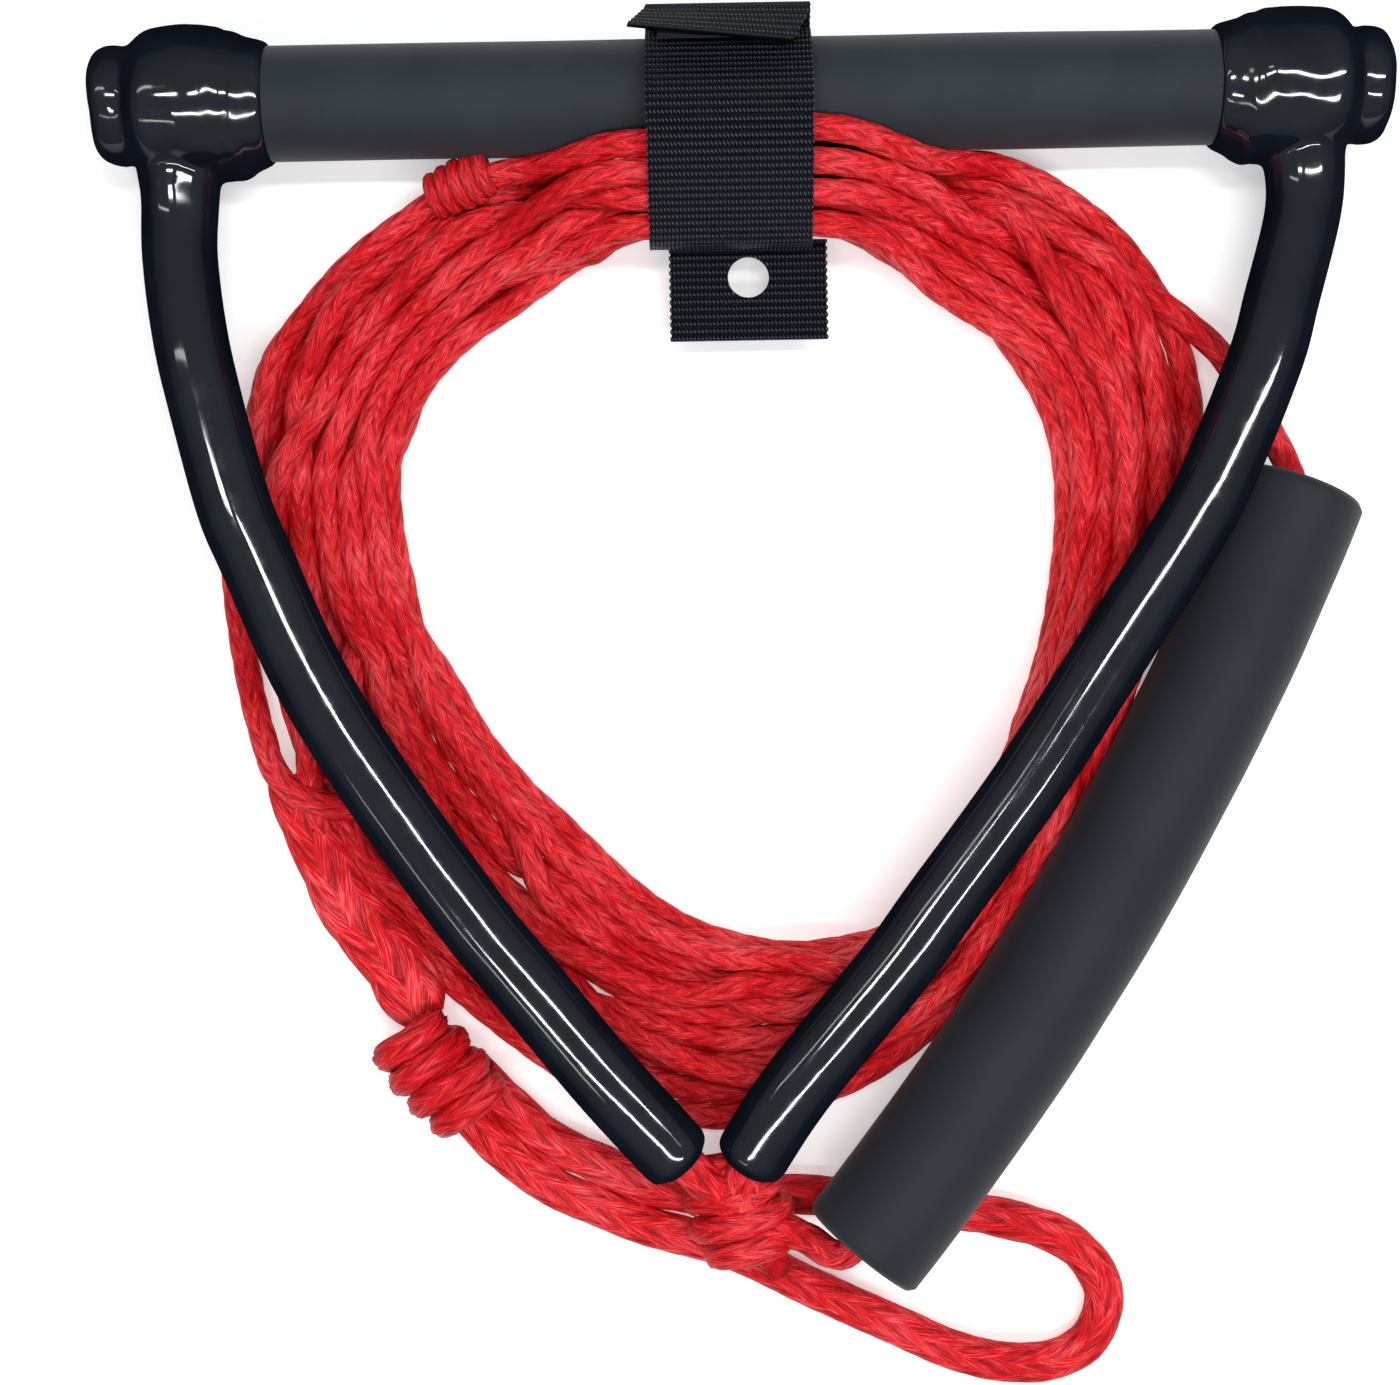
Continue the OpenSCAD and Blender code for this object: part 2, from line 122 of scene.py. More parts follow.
# The two arms, from the eye on the bar to the tip.
ARM_RADIUS = 0.0093
ROOT_FLARE = 0.0022
MELT_VOXEL = 0.0009
LEFT_ARM = (
    (-0.1431, -0.0120, 0.0000), (-0.1431, -0.0250, 0.0000), (-0.1433, -0.0320, 0.0006),
    (-0.1428, -0.0400, 0.0022), (-0.1406, -0.0550, 0.0054), (-0.1372, -0.0710, 0.0080),
    (-0.1294, -0.1010, 0.0096), (-0.1236, -0.1160, 0.0098), (-0.1106, -0.1460, 0.0099),
    (-0.0926, -0.1760, 0.0099), (-0.0718, -0.2060, 0.0099), (-0.0600, -0.2210, 0.0099),
    (-0.0391, -0.2472, 0.0094), (-0.0187, -0.2708, 0.0070),
)
RIGHT_ARM = (
    (0.1431, -0.0120, 0.0000), (0.1431, -0.0250, 0.0000), (0.1425, -0.0310, 0.0006),
    (0.1404, -0.0390, 0.0022), (0.1352, -0.0550, 0.0054), (0.1300, -0.0710, 0.0080),
    (0.1168, -0.1010, 0.0096), (0.1082, -0.1160, 0.0098), (0.0884, -0.1460, 0.0099),
    (0.0683, -0.1760, 0.0099), (0.0457, -0.2060, 0.0099), (0.0345, -0.2210, 0.0099),
    (0.0093, -0.2510, 0.0094), (-0.0044, -0.2718, 0.0070),
)
LEFT_BRIDLE = (
    (-0.0330, -0.2540, 0.0080), (-0.0200, -0.2690, 0.0055), (-0.0110, -0.2780, 0.0020),
    (-0.0040, -0.2850, -0.0010),
)
RIGHT_BRIDLE = (
    (0.0080, -0.2530, 0.0080), (-0.0030, -0.2700, 0.0055), (-0.0045, -0.2780, 0.0020),
    (-0.0025, -0.2850, -0.0010),
)

# The float. Its middle is 0.8 mm from the CAD's, where the photograph fits better.
FLOAT_MIDDLE = (0.0831, -0.1973, 0.0014)
FLOAT_LENGTH = 0.224
FLOAT_RADIUS = 0.0167
FLOAT_BORE = 0.008
FLOAT_TURN = math.radians(-31.4)
FLOAT_SLOPE = math.radians(-2.1)
FLOAT_BOW = math.radians(17)

# The strap's middle line round bar and coil, as (y, z).
BAND_ROUTE = (
    (-0.0300, -0.0174), (-0.0240, -0.0184), (-0.0120, -0.0184), (-0.0010, -0.0183), (0.0100, -0.0145),
    (0.0156, -0.0055), (0.0159, 0.0035), (0.0116, 0.0114), (0.0046, 0.0163), (-0.0020, 0.0201),
    (-0.0090, 0.0216), (-0.0165, 0.0192), (-0.0240, 0.0142), (-0.0310, 0.0086), (-0.0366, 0.0030),
    (-0.0372, -0.0040), (-0.0345, -0.0125),
)
# The short stub on the band that carries the tab's crease, as (y, z).
STUB_ROUTE = ((0.0154, 0.0050), (0.0166, 0.0078), (0.0190, 0.0112))
STRAP_THICKNESS = 0.0018
TAIL_X = 0.0013
TAIL_HALF = 0.02025
TAIL_HINGE = (-0.0383, -0.0090)
TAIL_LENGTH = 0.0225
TAIL_UNDER = 0.0032
HOLE_Y = -0.0446
HOLE_RADIUS = 0.0053
TAB_HINGE = (0.0190, 0.0124)
TAB_LENGTH = 0.011
CREASE_RADIUS = 0.0010
TAB_LIFT = math.radians(36)
TAB_SKEW = 0.108
TAB_SHIFT = 0.0045

CAMERA_PLACE = (-0.0131, -0.1516, 0.575)
CAMERA_ROLL = math.radians(-1.02)
CAMERA_WIDTH = 0.3562
TUBE_HEIGHT = 1.1
TUBE_WIDTH = 0.08


# ---- curves -----------------------------------------------------------------------------------

def curve(a, b, c, d, t):
    """Value at t, from 0 at b to 1 at c, on a smooth curve through four evenly spaced values."""
    return 0.5 * (2 * b + (c - a) * t + (2 * a - 5 * b + 4 * c - d) * t**2 + (3 * b - a - 3 * c + d) * t**3)


def smooth(route, steps=8, closed=False):
    """Points on a smooth curve through the route, the given number of steps to each stretch."""
    points = np.asarray(route, float)
    count = len(points)
    if closed:
        padded = np.vstack([points[-1], points, points[0], points[1]])
        stretches = count
    else:
        padded = np.vstack([2 * points[0] - points[1], points, 2 * points[-1] - points[-2]])
        stretches = count - 1
    out = []
    for i in range(stretches):
        a, b, c, d = padded[i:i + 4]
        for t in np.arange(steps) / steps:
            out.append(curve(a, b, c, d, t))
    if not closed:
        out.append(points[-1])
    return np.array(out)


def along(path):
    """Distance from the path's start to each of its points."""
    return np.concatenate([[0], np.cumsum(np.linalg.norm(np.diff(path, axis=0), axis=1))])


def resample(path, count):
    """The same path as a number of evenly spaced points."""
    places = along(path)
    wanted = np.linspace(0, places[-1], count)
    return np.column_stack([np.interp(wanted, places, path[:, k]) for k in range(3)])


def frames(path):
    """Two unit vectors across the path at each point, carried along it without twist."""
    tangents = np.gradient(path, axis=0)
    tangents /= np.linalg.norm(tangents, axis=1)[:, None]
    across = np.zeros_like(path)
    side = np.cross((0, 0, 1), tangents[0])
    across[0] = side / np.linalg.norm(side)
    for i in range(1, len(path)):
        side = across[i - 1] - np.dot(across[i - 1], tangents[i]) * tangents[i]
        across[i] = side / np.linalg.norm(side)
    return across, np.cross(tangents, across)


# ---- meshes -----------------------------------------------------------------------------------

def new_object(name, points, faces, material=None, uv=None, values=None):
    """A smooth-shaded mesh object, with a UV pair for each face corner and named numbers for each point."""
    mesh = bpy.data.meshes.new(name)
    mesh.from_pydata(np.asarray(points).tolist(), [], faces if isinstance(faces, list) else faces.tolist())
    mesh.polygons.foreach_set("use_smooth", np.ones(len(mesh.polygons), bool))
    if uv is not None:
        layer = mesh.uv_layers.new(name="lay")
        layer.data.foreach_set("uv", np.asarray(uv, np.float32).ravel())
    for key, numbers in (values or {}).items():
        mesh.attributes.new(key, "FLOAT", "POINT").data.foreach_set("value", np.asarray(numbers, np.float32))
    mesh.update()
    obj = bpy.data.objects.new(name, mesh)
    bpy.context.scene.collection.objects.link(obj)
    if material:
        mesh.materials.append(material)
    return obj


def braid_height(a, b):
    """Height of a two-over-two braid where strands a and b cross, and how far the first family is on top."""
    def crown(x):
        across = 2 * (x - np.floor(x)) - 1
        return np.sqrt(np.clip(1 - across**2, 0, 1))

    first = 0.62 * crown(a) + 0.38 * np.cos(math.pi / 2 * (b + np.floor(a) - 1))
    second = 0.62 * crown(b) + 0.38 * np.cos(math.pi / 2 * (a + np.floor(b) - 3))
    return np.maximum(first, second), first - second


def braided_rope(name, route, radius, material, relief=0.13, flat=1.0, pitch=None, bulge=None):
    """A hollow-braided rope along a dense route. Its grid follows the strands, so each is a real ridge."""
    pitch = pitch or PITCH_RADII * radius
    ring_gap = pitch / (2 * STRANDS * CELL_STEPS)
    length = along(route)[-1]
    rings = max(8, int(length / ring_gap))
    path = resample(route, rings)
    across, up = frames(path)
    slots = STRANDS * CELL_STEPS
    ring = np.repeat(np.arange(rings), slots)
    place = 2 * np.tile(np.arange(slots), rings) + ring % 2
    a = (place + ring) / 2 / CELL_STEPS
    b = (place - ring) / 2 / CELL_STEPS
    height, top = braid_height(a + 1e-6, b + 1e-6)
    angle = math.pi * place / slots
    reach = radius * (1 - relief + relief * height)
    if bulge is not None:
        reach = reach * bulge(ring / (rings - 1))
    points = (
        path[ring]
        + (reach * np.cos(angle))[:, None] * across[ring]
        + (reach * flat * np.sin(angle))[:, None] * up[ring]
    )
    # Each face is a diamond of the grid: a point, its two neighbours on the next ring and the one after.
    r, k = np.meshgrid(np.arange(rings - 2), np.arange(slots), indexing="ij")
    r = r.ravel()
    k = k.ravel()
    odd = r % 2
    low = r * slots + k
    right = (r + 1) * slots + (k + odd) % slots
    left = (r + 1) * slots + (k + odd - 1) % slots
    high = (r + 2) * slots + k
    faces = np.column_stack([low, right, high, left])
    t = 2 * k + odd
    corners = [(t, r), (t + 1, r + 1), (t, r + 2), (t - 1, r + 1)]
    strands = [np.column_stack([p + q, p - q]) / 2 / CELL_STEPS for p, q in corners]
    uv = np.stack(strands, axis=1)
    obj = new_object(name, points, faces, material, uv.reshape(-1, 2), {"depth": height, "top": top})
    close_ends(obj)
    return obj, path


def close_ends(obj):
    """Fills the open ends of a tube."""
    work = bmesh.new()
    work.from_mesh(obj.data)
    edges = [e for e in work.edges if e.is_boundary]
    bmesh.ops.holes_fill(work, edges=edges, sides=0)
    work.to_mesh(obj.data)
    work.free()


def swept(name, path, rings_at, material, sides=48):
    """A closed tube whose outline at each point of the path is a radius for every side."""
    across, up = frames(path)
    angle = 2 * math.pi * np.arange(sides) / sides
    points = []
    for i, centre in enumerate(path):
        reach = np.broadcast_to(rings_at[i], sides)[:, None]
        points.append(centre + reach * (np.cos(angle)[:, None] * across[i] + np.sin(angle)[:, None] * up[i]))
    faces = []
    for i in range(len(path) - 1):
        for k in range(sides):
            n = (k + 1) % sides
            faces.append([i * sides + k, i * sides + n, (i + 1) * sides + n, (i + 1) * sides + k])
    faces.append([k for k in range(sides)][::-1])
    faces.append([(len(path) - 1) * sides + k for k in range(sides)])
    return new_object(name, np.vstack(points), faces, material)


def turned_about_bar(name, outline, material, sides=96):
    """A closed solid of revolution about the bar's axis, from (x, radius) pairs."""
    path = np.array([(x, 0, 0) for x, _ in outline], float)
    radii = [r for _, r in outline]
    angle = 2 * math.pi * np.arange(sides) / sides
    points = []
    for centre, r in zip(path, radii):
        ring = np.column_stack([np.zeros(sides), r * np.cos(angle), r * np.sin(angle)])
        points.append(centre + ring)
    faces = []
    for i in range(len(path) - 1):
        for k in range(sides):
            n = (k + 1) % sides
            faces.append([i * sides + k, (i + 1) * sides + k, (i + 1) * sides + n, i * sides + n])
    faces.append([k for k in range(sides)])
    faces.append([(len(path) - 1) * sides + k for k in range(sides)][::-1])
    return new_object(name, np.vstack(points), faces, material)


def apply_modifiers(obj):
    """Turns an object's modifiers into plain mesh."""
    graph = bpy.context.evaluated_depsgraph_get()
    mesh = bpy.data.meshes.new_from_object(obj.evaluated_get(graph))
    obj.modifiers.clear()
    obj.data = mesh


def joined(name, objects):
    """One object made of several."""
    work = bmesh.new()
    for obj in objects:
        work.from_mesh(obj.data)
    mesh = bpy.data.meshes.new(name)
    work.to_mesh(mesh)
    work.free()
    obj = bpy.data.objects.new(name, mesh)
    bpy.context.scene.collection.objects.link(obj)
    for old in objects:
        bpy.data.objects.remove(old)
    return obj


def fused(name, objects, voxel, rounds, material):
    """Several closed solids melted into one skin, with the joins rounded."""
    obj = joined(name, objects)
    remesh = obj.modifiers.new("melt", "REMESH")
    remesh.mode = "VOXEL"
    remesh.voxel_size = voxel
    remesh.use_smooth_shade = True
    soften = obj.modifiers.new("round", "SMOOTH")
    soften.factor = 0.5
    soften.iterations = rounds
    apply_modifiers(obj)
    obj.data.materials.clear()
    obj.data.materials.append(material)
    obj.data.polygons.foreach_set("use_smooth", np.ones(len(obj.data.polygons), bool))
    return obj


def rounded(obj, path, radii):
    """Puts a melted arm's points back on its round tube, away from the ball and from the tip."""
    mesh = obj.data
    places = along(path)
    points = np.empty(3 * len(mesh.vertices))
    mesh.vertices.foreach_get("co", points)
    points = points.reshape(-1, 3)
    for start in range(0, len(points), 4000):
        part = points[start:start + 4000]
        gap = part[:, None, :] - path[None, :, :]
        nearest = np.argmin(np.einsum("ijk,ijk->ij", gap, gap), axis=1)
        away = part - path[nearest]
        distance = np.maximum(np.linalg.norm(away, axis=1), 1e-6)
        from_root = np.clip((places[nearest] - 0.020) / 0.012, 0, 1)
        from_tip = np.clip((places[-1] - places[nearest] - 0.008) / 0.006, 0, 1)
        share = np.minimum(from_root, from_tip) * (distance < 1.3 * ARM_RADIUS)
        part += (share * (radii[nearest] / distance - 1))[:, None] * away
    mesh.vertices.foreach_set("co", points.ravel())
    mesh.update()


def settled(obj):
    """Flattens what would sink into the floor."""
    for v in obj.data.vertices:
        v.co.z = max(v.co.z, FLOOR_Z)


def push_points(obj, amount):
    """Moves each point along its normal by amount(point)."""
    mesh = obj.data
    moves = [Vector(v.normal) * amount(v.co) for v in mesh.vertices]
    for v, move in zip(mesh.vertices, moves):
        v.co += move
    mesh.update()


# ---- materials --------------------------------------------------------------------------------

class Shader:
    """A material's nodes, with short ways to add and join them."""

    def __init__(self, name):
        self.material = bpy.data.materials.new(name)
        self.material.use_nodes = True
        self.tree = self.material.node_tree
        self.surface = self.tree.nodes["Principled BSDF"]

    def node(self, kind, **settings):
        made = self.tree.nodes.new(kind)
        for key, value in settings.items():
            setattr(made, key, value)
        return made

    def link(self, output, node, key):
        self.tree.links.new(output, node.inputs[key])

    def set(self, **values):
        for key, value in values.items():
            self.surface.inputs[key.replace("_", " ")].default_value = value

    def math(self, operation, first, second=None):
        made = self.node("ShaderNodeMath", operation=operation)
        for i, value in enumerate((first, second)):
            if value is None:
                continue
            if isinstance(value, (int, float)):
                made.inputs[i].default_value = value
            else:
                self.tree.links.new(value, made.inputs[i])
        return made.outputs[0]

    def noise(self, vector, scale, detail=3.0, roughness=0.5):
        made = self.node("ShaderNodeTexNoise")
        made.inputs["Scale"].default_value = scale
        made.inputs["Detail"].default_value = detail
        made.inputs["Roughness"].default_value = roughness
        self.link(vector, made, "Vector")
        return made.outputs["Fac"]

    def stretch(self, vector, x, y, z=1.0):
        made = self.node("ShaderNodeMapping")
        made.inputs["Scale"].default_value = (x, y, z)
        self.link(vector, made, "Vector")
        return made.outputs[0]

    def ramp(self, value, *stops):
        made = self.node("ShaderNodeValToRGB")
        line = made.color_ramp.elements
        while len(line) < len(stops):
            line.new(0.5)
        for element, (place, colour) in zip(line, stops):
            element.position = place
            element.color = (*colour, 1)
        self.link(value, made, "Fac")
        return made.outputs["Color"]

    def bump(self, height, distance, strength=1.0):
        made = self.node("ShaderNodeBump")
        made.inputs["Distance"].default_value = distance
        made.inputs["Strength"].default_value = strength
        self.link(height, made, "Height")
        self.link(made.outputs[0], self.surface, "Normal")


def rope_material():
    shader = Shader("red_braid")
    uv = shader.node("ShaderNodeUVMap", uv_map="lay").outputs[0]
    top = shader.node("ShaderNodeAttribute", attribute_name="top").outputs["Fac"]
    depth = shader.node("ShaderNodeAttribute", attribute_name="depth").outputs["Fac"]
    first_on_top = shader.math("GREATER_THAN", top, 0.0)
    first_fibres = shader.noise(shader.stretch(uv, 14, 1.3), 1.0, 2.0)
    second_fibres = shader.noise(shader.stretch(uv, 1.3, 14), 1.0, 2.0)
    second_share = shader.math("MULTIPLY", second_fibres, shader.math("SUBTRACT", 1.0, first_on_top))
    fibres = shader.math("ADD", shader.math("MULTIPLY", first_fibres, first_on_top), second_share)
    place = shader.node("ShaderNodeTexCoord").outputs["Object"]
    patches = shader.noise(place, 55, 3.0)
    tone = shader.math("ADD", shader.math("MULTIPLY", fibres, 0.65), shader.math("MULTIPLY", patches, 0.35))
    # The fibre and patch tone varies at random; the pinkish bright end of this ramp is a painted highlight
    # standing in for glints on the fibres.
    dark, mid, bright = (0.32, 0.0, 0.001), (0.74, 0.002, 0.008), (1.0, 0.15, 0.165)
    thread = shader.ramp(tone, (0.34, dark), (0.50, mid), (0.68, bright))
    # Painted shade: the braid's low places, where strands dip between each other (the depth attribute),
    # darken the base colour.
    groove_shade = shader.ramp(depth, (0.25, (0.35, 0.1, 0.15)), (0.75, (1.0, 1.0, 1.0)))
    shade = shader.node("ShaderNodeMix", data_type="RGBA", blend_type="MULTIPLY")
    sockets = [s for s in shade.inputs if s.type == "RGBA"]
    shade.inputs[0].default_value = 0.75
    shader.tree.links.new(thread, sockets[0])
    shader.tree.links.new(groove_shade, sockets[1])
    shader.link([s for s in shade.outputs if s.type == "RGBA"][0], shader.surface, "Base Color")
    gloss = shader.ramp(fibres, (0.35, (0.62, 0.62, 0.62)), (0.7, (0.34, 0.34, 0.34)))
    shader.link(gloss, shader.surface, "Roughness")
    shader.set(Specular_IOR_Level=0.18)
    shader.bump(fibres, 0.00045, 0.8)
    return shader.material


def foam_material(name, shade_factor=1.0):
    shader = Shader(name)
    place = shader.node("ShaderNodeTexCoord").outputs["Object"]
    cells = shader.noise(place, 2600, 2.0)
    patches = shader.noise(place, 40, 3.0)
    # A factor below 1 darkens the whole foam colour as painted shade.
    low = tuple(shade_factor * c for c in (0.0120, 0.0165, 0.0240))
    high = tuple(shade_factor * c for c in (0.0180, 0.0235, 0.0330))
    colour = shader.ramp(patches, (0.3, low), (0.7, high))
    shader.link(colour, shader.surface, "Base Color")
    shader.set(Roughness=0.7, Sheen_Weight=0.08, Sheen_Roughness=0.5, Specular_IOR_Level=0.3)
    shader.bump(cells, 0.00012, 0.6)
    return shader.material


def vinyl_material():
    shader = Shader("black_vinyl")
    place = shader.node("ShaderNodeTexCoord").outputs["Object"]
    waves = shader.noise(place, 70, 2.0)
    smears = shader.noise(place, 220, 3.0)
    colour = shader.ramp(waves, (0.3, (0.0040, 0.0058, 0.0100)), (0.7, (0.0065, 0.0090, 0.0150)))
    shader.link(colour, shader.surface, "Base Color")
    gloss = shader.ramp(smears, (0.35, (0.06, 0.06, 0.06)), (0.75, (0.13, 0.13, 0.13)))
    shader.link(gloss, shader.surface, "Roughness")
    # The dip's matt film keeps the pale floor out of its grazing reflections.
    facing = shader.node("ShaderNodeLayerWeight").outputs["Facing"]
    shine = shader.node("ShaderNodeMapRange")
    shine.inputs["From Min"].default_value = 0.10
    shine.inputs["From Max"].default_value = 0.36
    shine.inputs["To Min"].default_value = 0.9
    shine.inputs["To Max"].default_value = 0.0
    shader.link(facing, shine, "Value")
    shader.link(shine.outputs[0], shader.surface, "Specular IOR Level")
    shader.bump(waves, 0.0004, 0.12)
    return shader.material


def webbing_material():
    shader = Shader("black_webbing")
    uv = shader.node("ShaderNodeUVMap", uv_map="lay").outputs[0]
    parts = shader.node("ShaderNodeSeparateXYZ")
    shader.link(uv, parts, 0)
    row_turn = shader.math("MULTIPLY", parts.outputs["Y"], 2 * math.pi / ROW_GAP)
    loop_turn = shader.math("MULTIPLY", parts.outputs["X"], 2 * math.pi / LOOP_GAP)
    sway = shader.math("MULTIPLY", shader.math("COSINE", row_turn), 1.1)
    loop = shader.math("SINE", shader.math("ADD", loop_turn, sway))
    row = shader.math("SINE", row_turn)
    raised = shader.math("ADD", shader.math("MULTIPLY", loop, 0.5), shader.math("MULTIPLY", row, 0.5))
    threads = shader.noise(shader.stretch(uv, 2400, 700), 1.0, 2.0)
    tone = shader.math("ADD", raised, shader.math("MULTIPLY", threads, 0.5))
    # The knit pattern is the webbing's own, but the spread of its tone is painted light: the hollows between
    # loops are painted shade near black and the raised loop tops are painted highlights.
    dark, mid, bright = (0.0003, 0.0006, 0.0016), (0.0022, 0.0036, 0.0080), (0.050, 0.064, 0.098)
    colour = shader.ramp(tone, (0.20, dark), (0.62, mid), (1.0, bright))
    shader.link(colour, shader.surface, "Base Color")
    shader.set(Roughness=0.5, Specular_IOR_Level=0.2)
    shader.bump(tone, 0.0004, 0.9)
    return shader.material


def plain_material(name, colour, roughness, metallic=0.0):
    shader = Shader(name)
    place = shader.node("ShaderNodeTexCoord").outputs["Object"]
    grain = shader.noise(shader.stretch(place, 30, 900, 900), 1.0, 2.0)
    tint = tuple(0.8 * c for c in colour)
    shader.link(shader.ramp(grain, (0.3, tint), (0.7, colour)), shader.surface, "Base Color")
    shader.set(Roughness=roughness, Metallic=metallic)
    return shader.material


# ---- the coil ---------------------------------------------------------------------------------

def edge_at(values, angle):
    """The coil's edge, given every 30 degrees, at any angle in degrees."""
    step = np.asarray(angle) / 30
    i = np.floor(step).astype(int)
    t = step - i
    a, b, c, d = (np.asarray(values)[(i + k) % 12] for k in (-1, 0, 1, 2))
    return curve(a, b, c, d, t)


def float_axis(share):
    """Point on the float's bowed axis: share runs from -0.5 at its lower end to 0.5 at its upper end."""
    bend = FLOAT_LENGTH / 2 / math.sin(FLOAT_BOW / 2)
    a = FLOAT_BOW * share
    x = bend * (math.cos(a) - math.cos(FLOAT_BOW / 2))
    y = bend * math.sin(a) * math.cos(FLOAT_SLOPE)
    z = bend * math.sin(a) * math.sin(FLOAT_SLOPE)
    turn = (math.cos(FLOAT_TURN), math.sin(FLOAT_TURN))
    return np.array(FLOAT_MIDDLE) + (x * turn[0] - y * turn[1], x * turn[1] + y * turn[0], z)


def pushed_out(points, centres, reach):
    """Points moved sideways until none is closer to a centre than that centre's reach."""
    gap = points[:, None, :] - centres[None, :, :]
    distance = np.linalg.norm(gap, axis=2)
    nearest = np.argmin(distance - reach, axis=1)
    rows = np.arange(len(points))
    short = np.clip(reach[nearest] - distance[rows, nearest], 0, None)
    direction = gap[rows, nearest] / np.maximum(distance[rows, nearest], 1e-6)[:, None]
    return direction * short[:, None]


def turn_share(bearing, turn, lay):
    """How far out across the coil's width each point starts: its turn's place with a slow wander."""
    wander = 0.10 * np.sin(2 * bearing + 2.4 * turn) + 0.07 * np.sin(3 * bearing + 1.7 * turn)
    share = np.interp(lay, np.arange(TURNS + 1) - 0.4, (*TURN_PLACE, TURN_PLACE[-1]))
    # The turns at both edges of the coil wander least, and so do the line's two ends.
    wander = wander * (0.1 + 3.6 * share * (1 - share))
    return np.clip(share + wander * np.sin(np.pi * np.clip(lay / TURNS, 0, 1)) ** 0.3, 0, 1)


def strap_pull(wanted, bearing, passing):
    """How strongly the strap holds each point, and the reach and height of its turn's slot there."""
    x = COIL_MIDDLE[0] + wanted * np.cos(bearing)
    near_top = np.sin(bearing) > 0.6
    fade = np.clip(1 - (np.abs(x - STRAP_X) - STRAP_HALF) / 0.030, 0, 1)
    pull = np.where(near_top, fade, 0) ** 1.5
    slot_of_turn = np.empty(TURNS, int)
    slot_of_turn[np.argsort(-np.array(TURN_PLACE))] = np.arange(TURNS)
    slot = np.array(STRAP_SLOTS)[slot_of_turn[np.clip(passing, 0, TURNS - 1)]]
    # The turns nearest the bar run a little askew under the strap.
    slant = SLOT_SLANT * np.clip((slot[:, 0] + 0.027) / 0.014, 0, 1)
    slot_y = slot[:, 0] + slant * np.clip(x - STRAP_X, -STRAP_HALF, STRAP_HALF)
    return pull, (slot_y - COIL_MIDDLE[1]) / np.maximum(np.sin(bearing), 0.5), slot[:, 1]


def spread(reach, height, row, station, pairs):
    """Moves turns apart where two of them are closer than a rope's width."""
    lower, upper = pairs
    grid = np.full((TURNS + 1, STATIONS, 2), np.nan)
    grid[row, station, 0] = reach
    grid[row, station, 1] = height
    gap = grid[upper] - grid[lower]
    distance = np.linalg.norm(gap, axis=2)
    short = np.clip(2 * ROPE_RADIUS * 0.985 - distance, 0, None)
    short[np.isnan(short)] = 0
    way = np.nan_to_num(gap / np.maximum(distance, 1e-6)[:, :, None])
    move = 0.45 * way * short[:, :, None]
    total = np.zeros_like(grid)
    np.add.at(total, upper, move)
    np.add.at(total, lower, -move)
    total = np.clip(total[row, station], -0.002, 0.002)
    return reach + total[:, 0], height + total[:, 1]


def coil_points(reach, height, bearing):
    x = COIL_MIDDLE[0] + reach * np.cos(bearing)
    y = COIL_MIDDLE[1] + reach * np.sin(bearing)
    return np.column_stack([x, y, height])


def wound_coil():
    """Route of the coiled line. Its turns start in rough places and settle, pushing each other apart."""
    per_station = 360 / STATIONS
    first = int(ENTRY_ANGLE / per_station)
    count = int((LEAVE_ANGLE - ENTRY_ANGLE) / per_station) + (TURNS - 1) * STATIONS + 1
    index = first + np.arange(count)
    row, station = index // STATIONS, index % STATIONS
    turn = (index - first) // STATIONS
    bearing = np.radians(index * per_station)
    inner = edge_at(COIL_INNER, index * per_station) + ROPE_RADIUS
    outer = edge_at(COIL_OUTER, index * per_station) - ROPE_RADIUS
    wanted = inner + (outer - inner) * turn_share(bearing, turn, (index - first) / STATIONS)
    passing = np.round((index - 90 / per_station) / STATIONS).astype(int)
    pull, slot_reach, slot_height = strap_pull(wanted, bearing, passing)
    reach = wanted + (slot_reach - wanted) * pull
    height = FLOOR_Z + ROPE_RADIUS + 0.0009 * turn
    height = height + (slot_height - height) * pull

    # What the turns may not enter: the float and both arms. The bar and the floor follow below.
    arms = [resample(smooth(route, 4), 50) for route in (LEFT_ARM, RIGHT_ARM)]
    tube = np.array([float_axis(s) for s in np.linspace(-0.5, 0.5, 41)])
    things = np.vstack([tube, *arms])
    reaches = np.concatenate([np.full(len(tube), FLOAT_RADIUS), np.full(100, ARM_RADIUS)]) + ROPE_RADIUS
    pairs = np.array([(i, j) for i in range(TURNS + 1) for j in range(i + 1, TURNS + 1)]).T
    lowest = FLOOR_Z + ROPE_RADIUS + np.where(pull > 0.5, 0.002, 0)
    for step in range(SETTLE_ROUNDS):
        height = height - 0.00012 * (1 - pull)
        reach = reach + 0.02 * (wanted - reach) * (1 - pull) + 0.10 * (slot_reach - reach) * pull
        height = height + 0.10 * (slot_height - height) * pull
        for values in (reach, height):
            middle = 0.5 * (values[:-2] + values[2:])
            values[1:-1] += 0.45 * (middle - values[1:-1])
        if step % 3 == 0:
            move = pushed_out(coil_points(reach, height, bearing), things, reaches)
            reach += move[:, 0] * np.cos(bearing) + move[:, 1] * np.sin(bearing)
            height += move[:, 2]
        for _ in range(3):
            reach, height = spread(reach, height, row, station, pairs)
            y = COIL_MIDDLE[1] + reach * np.sin(bearing)
            across = np.hypot(y, height)
            inside_bar = np.clip(GRIP_RADIUS + ROPE_RADIUS - across, 0, None) / np.maximum(across, 1e-6)
            reach = reach + inside_bar * y * np.sin(bearing)
            height = height + inside_bar * height
            reach = np.where(pull < 0.02, np.clip(reach, inner, outer), reach)
            height = np.maximum(height, lowest)
    return coil_points(reach, height, bearing)


# ---- knots ------------------------------------------------------------------------------------

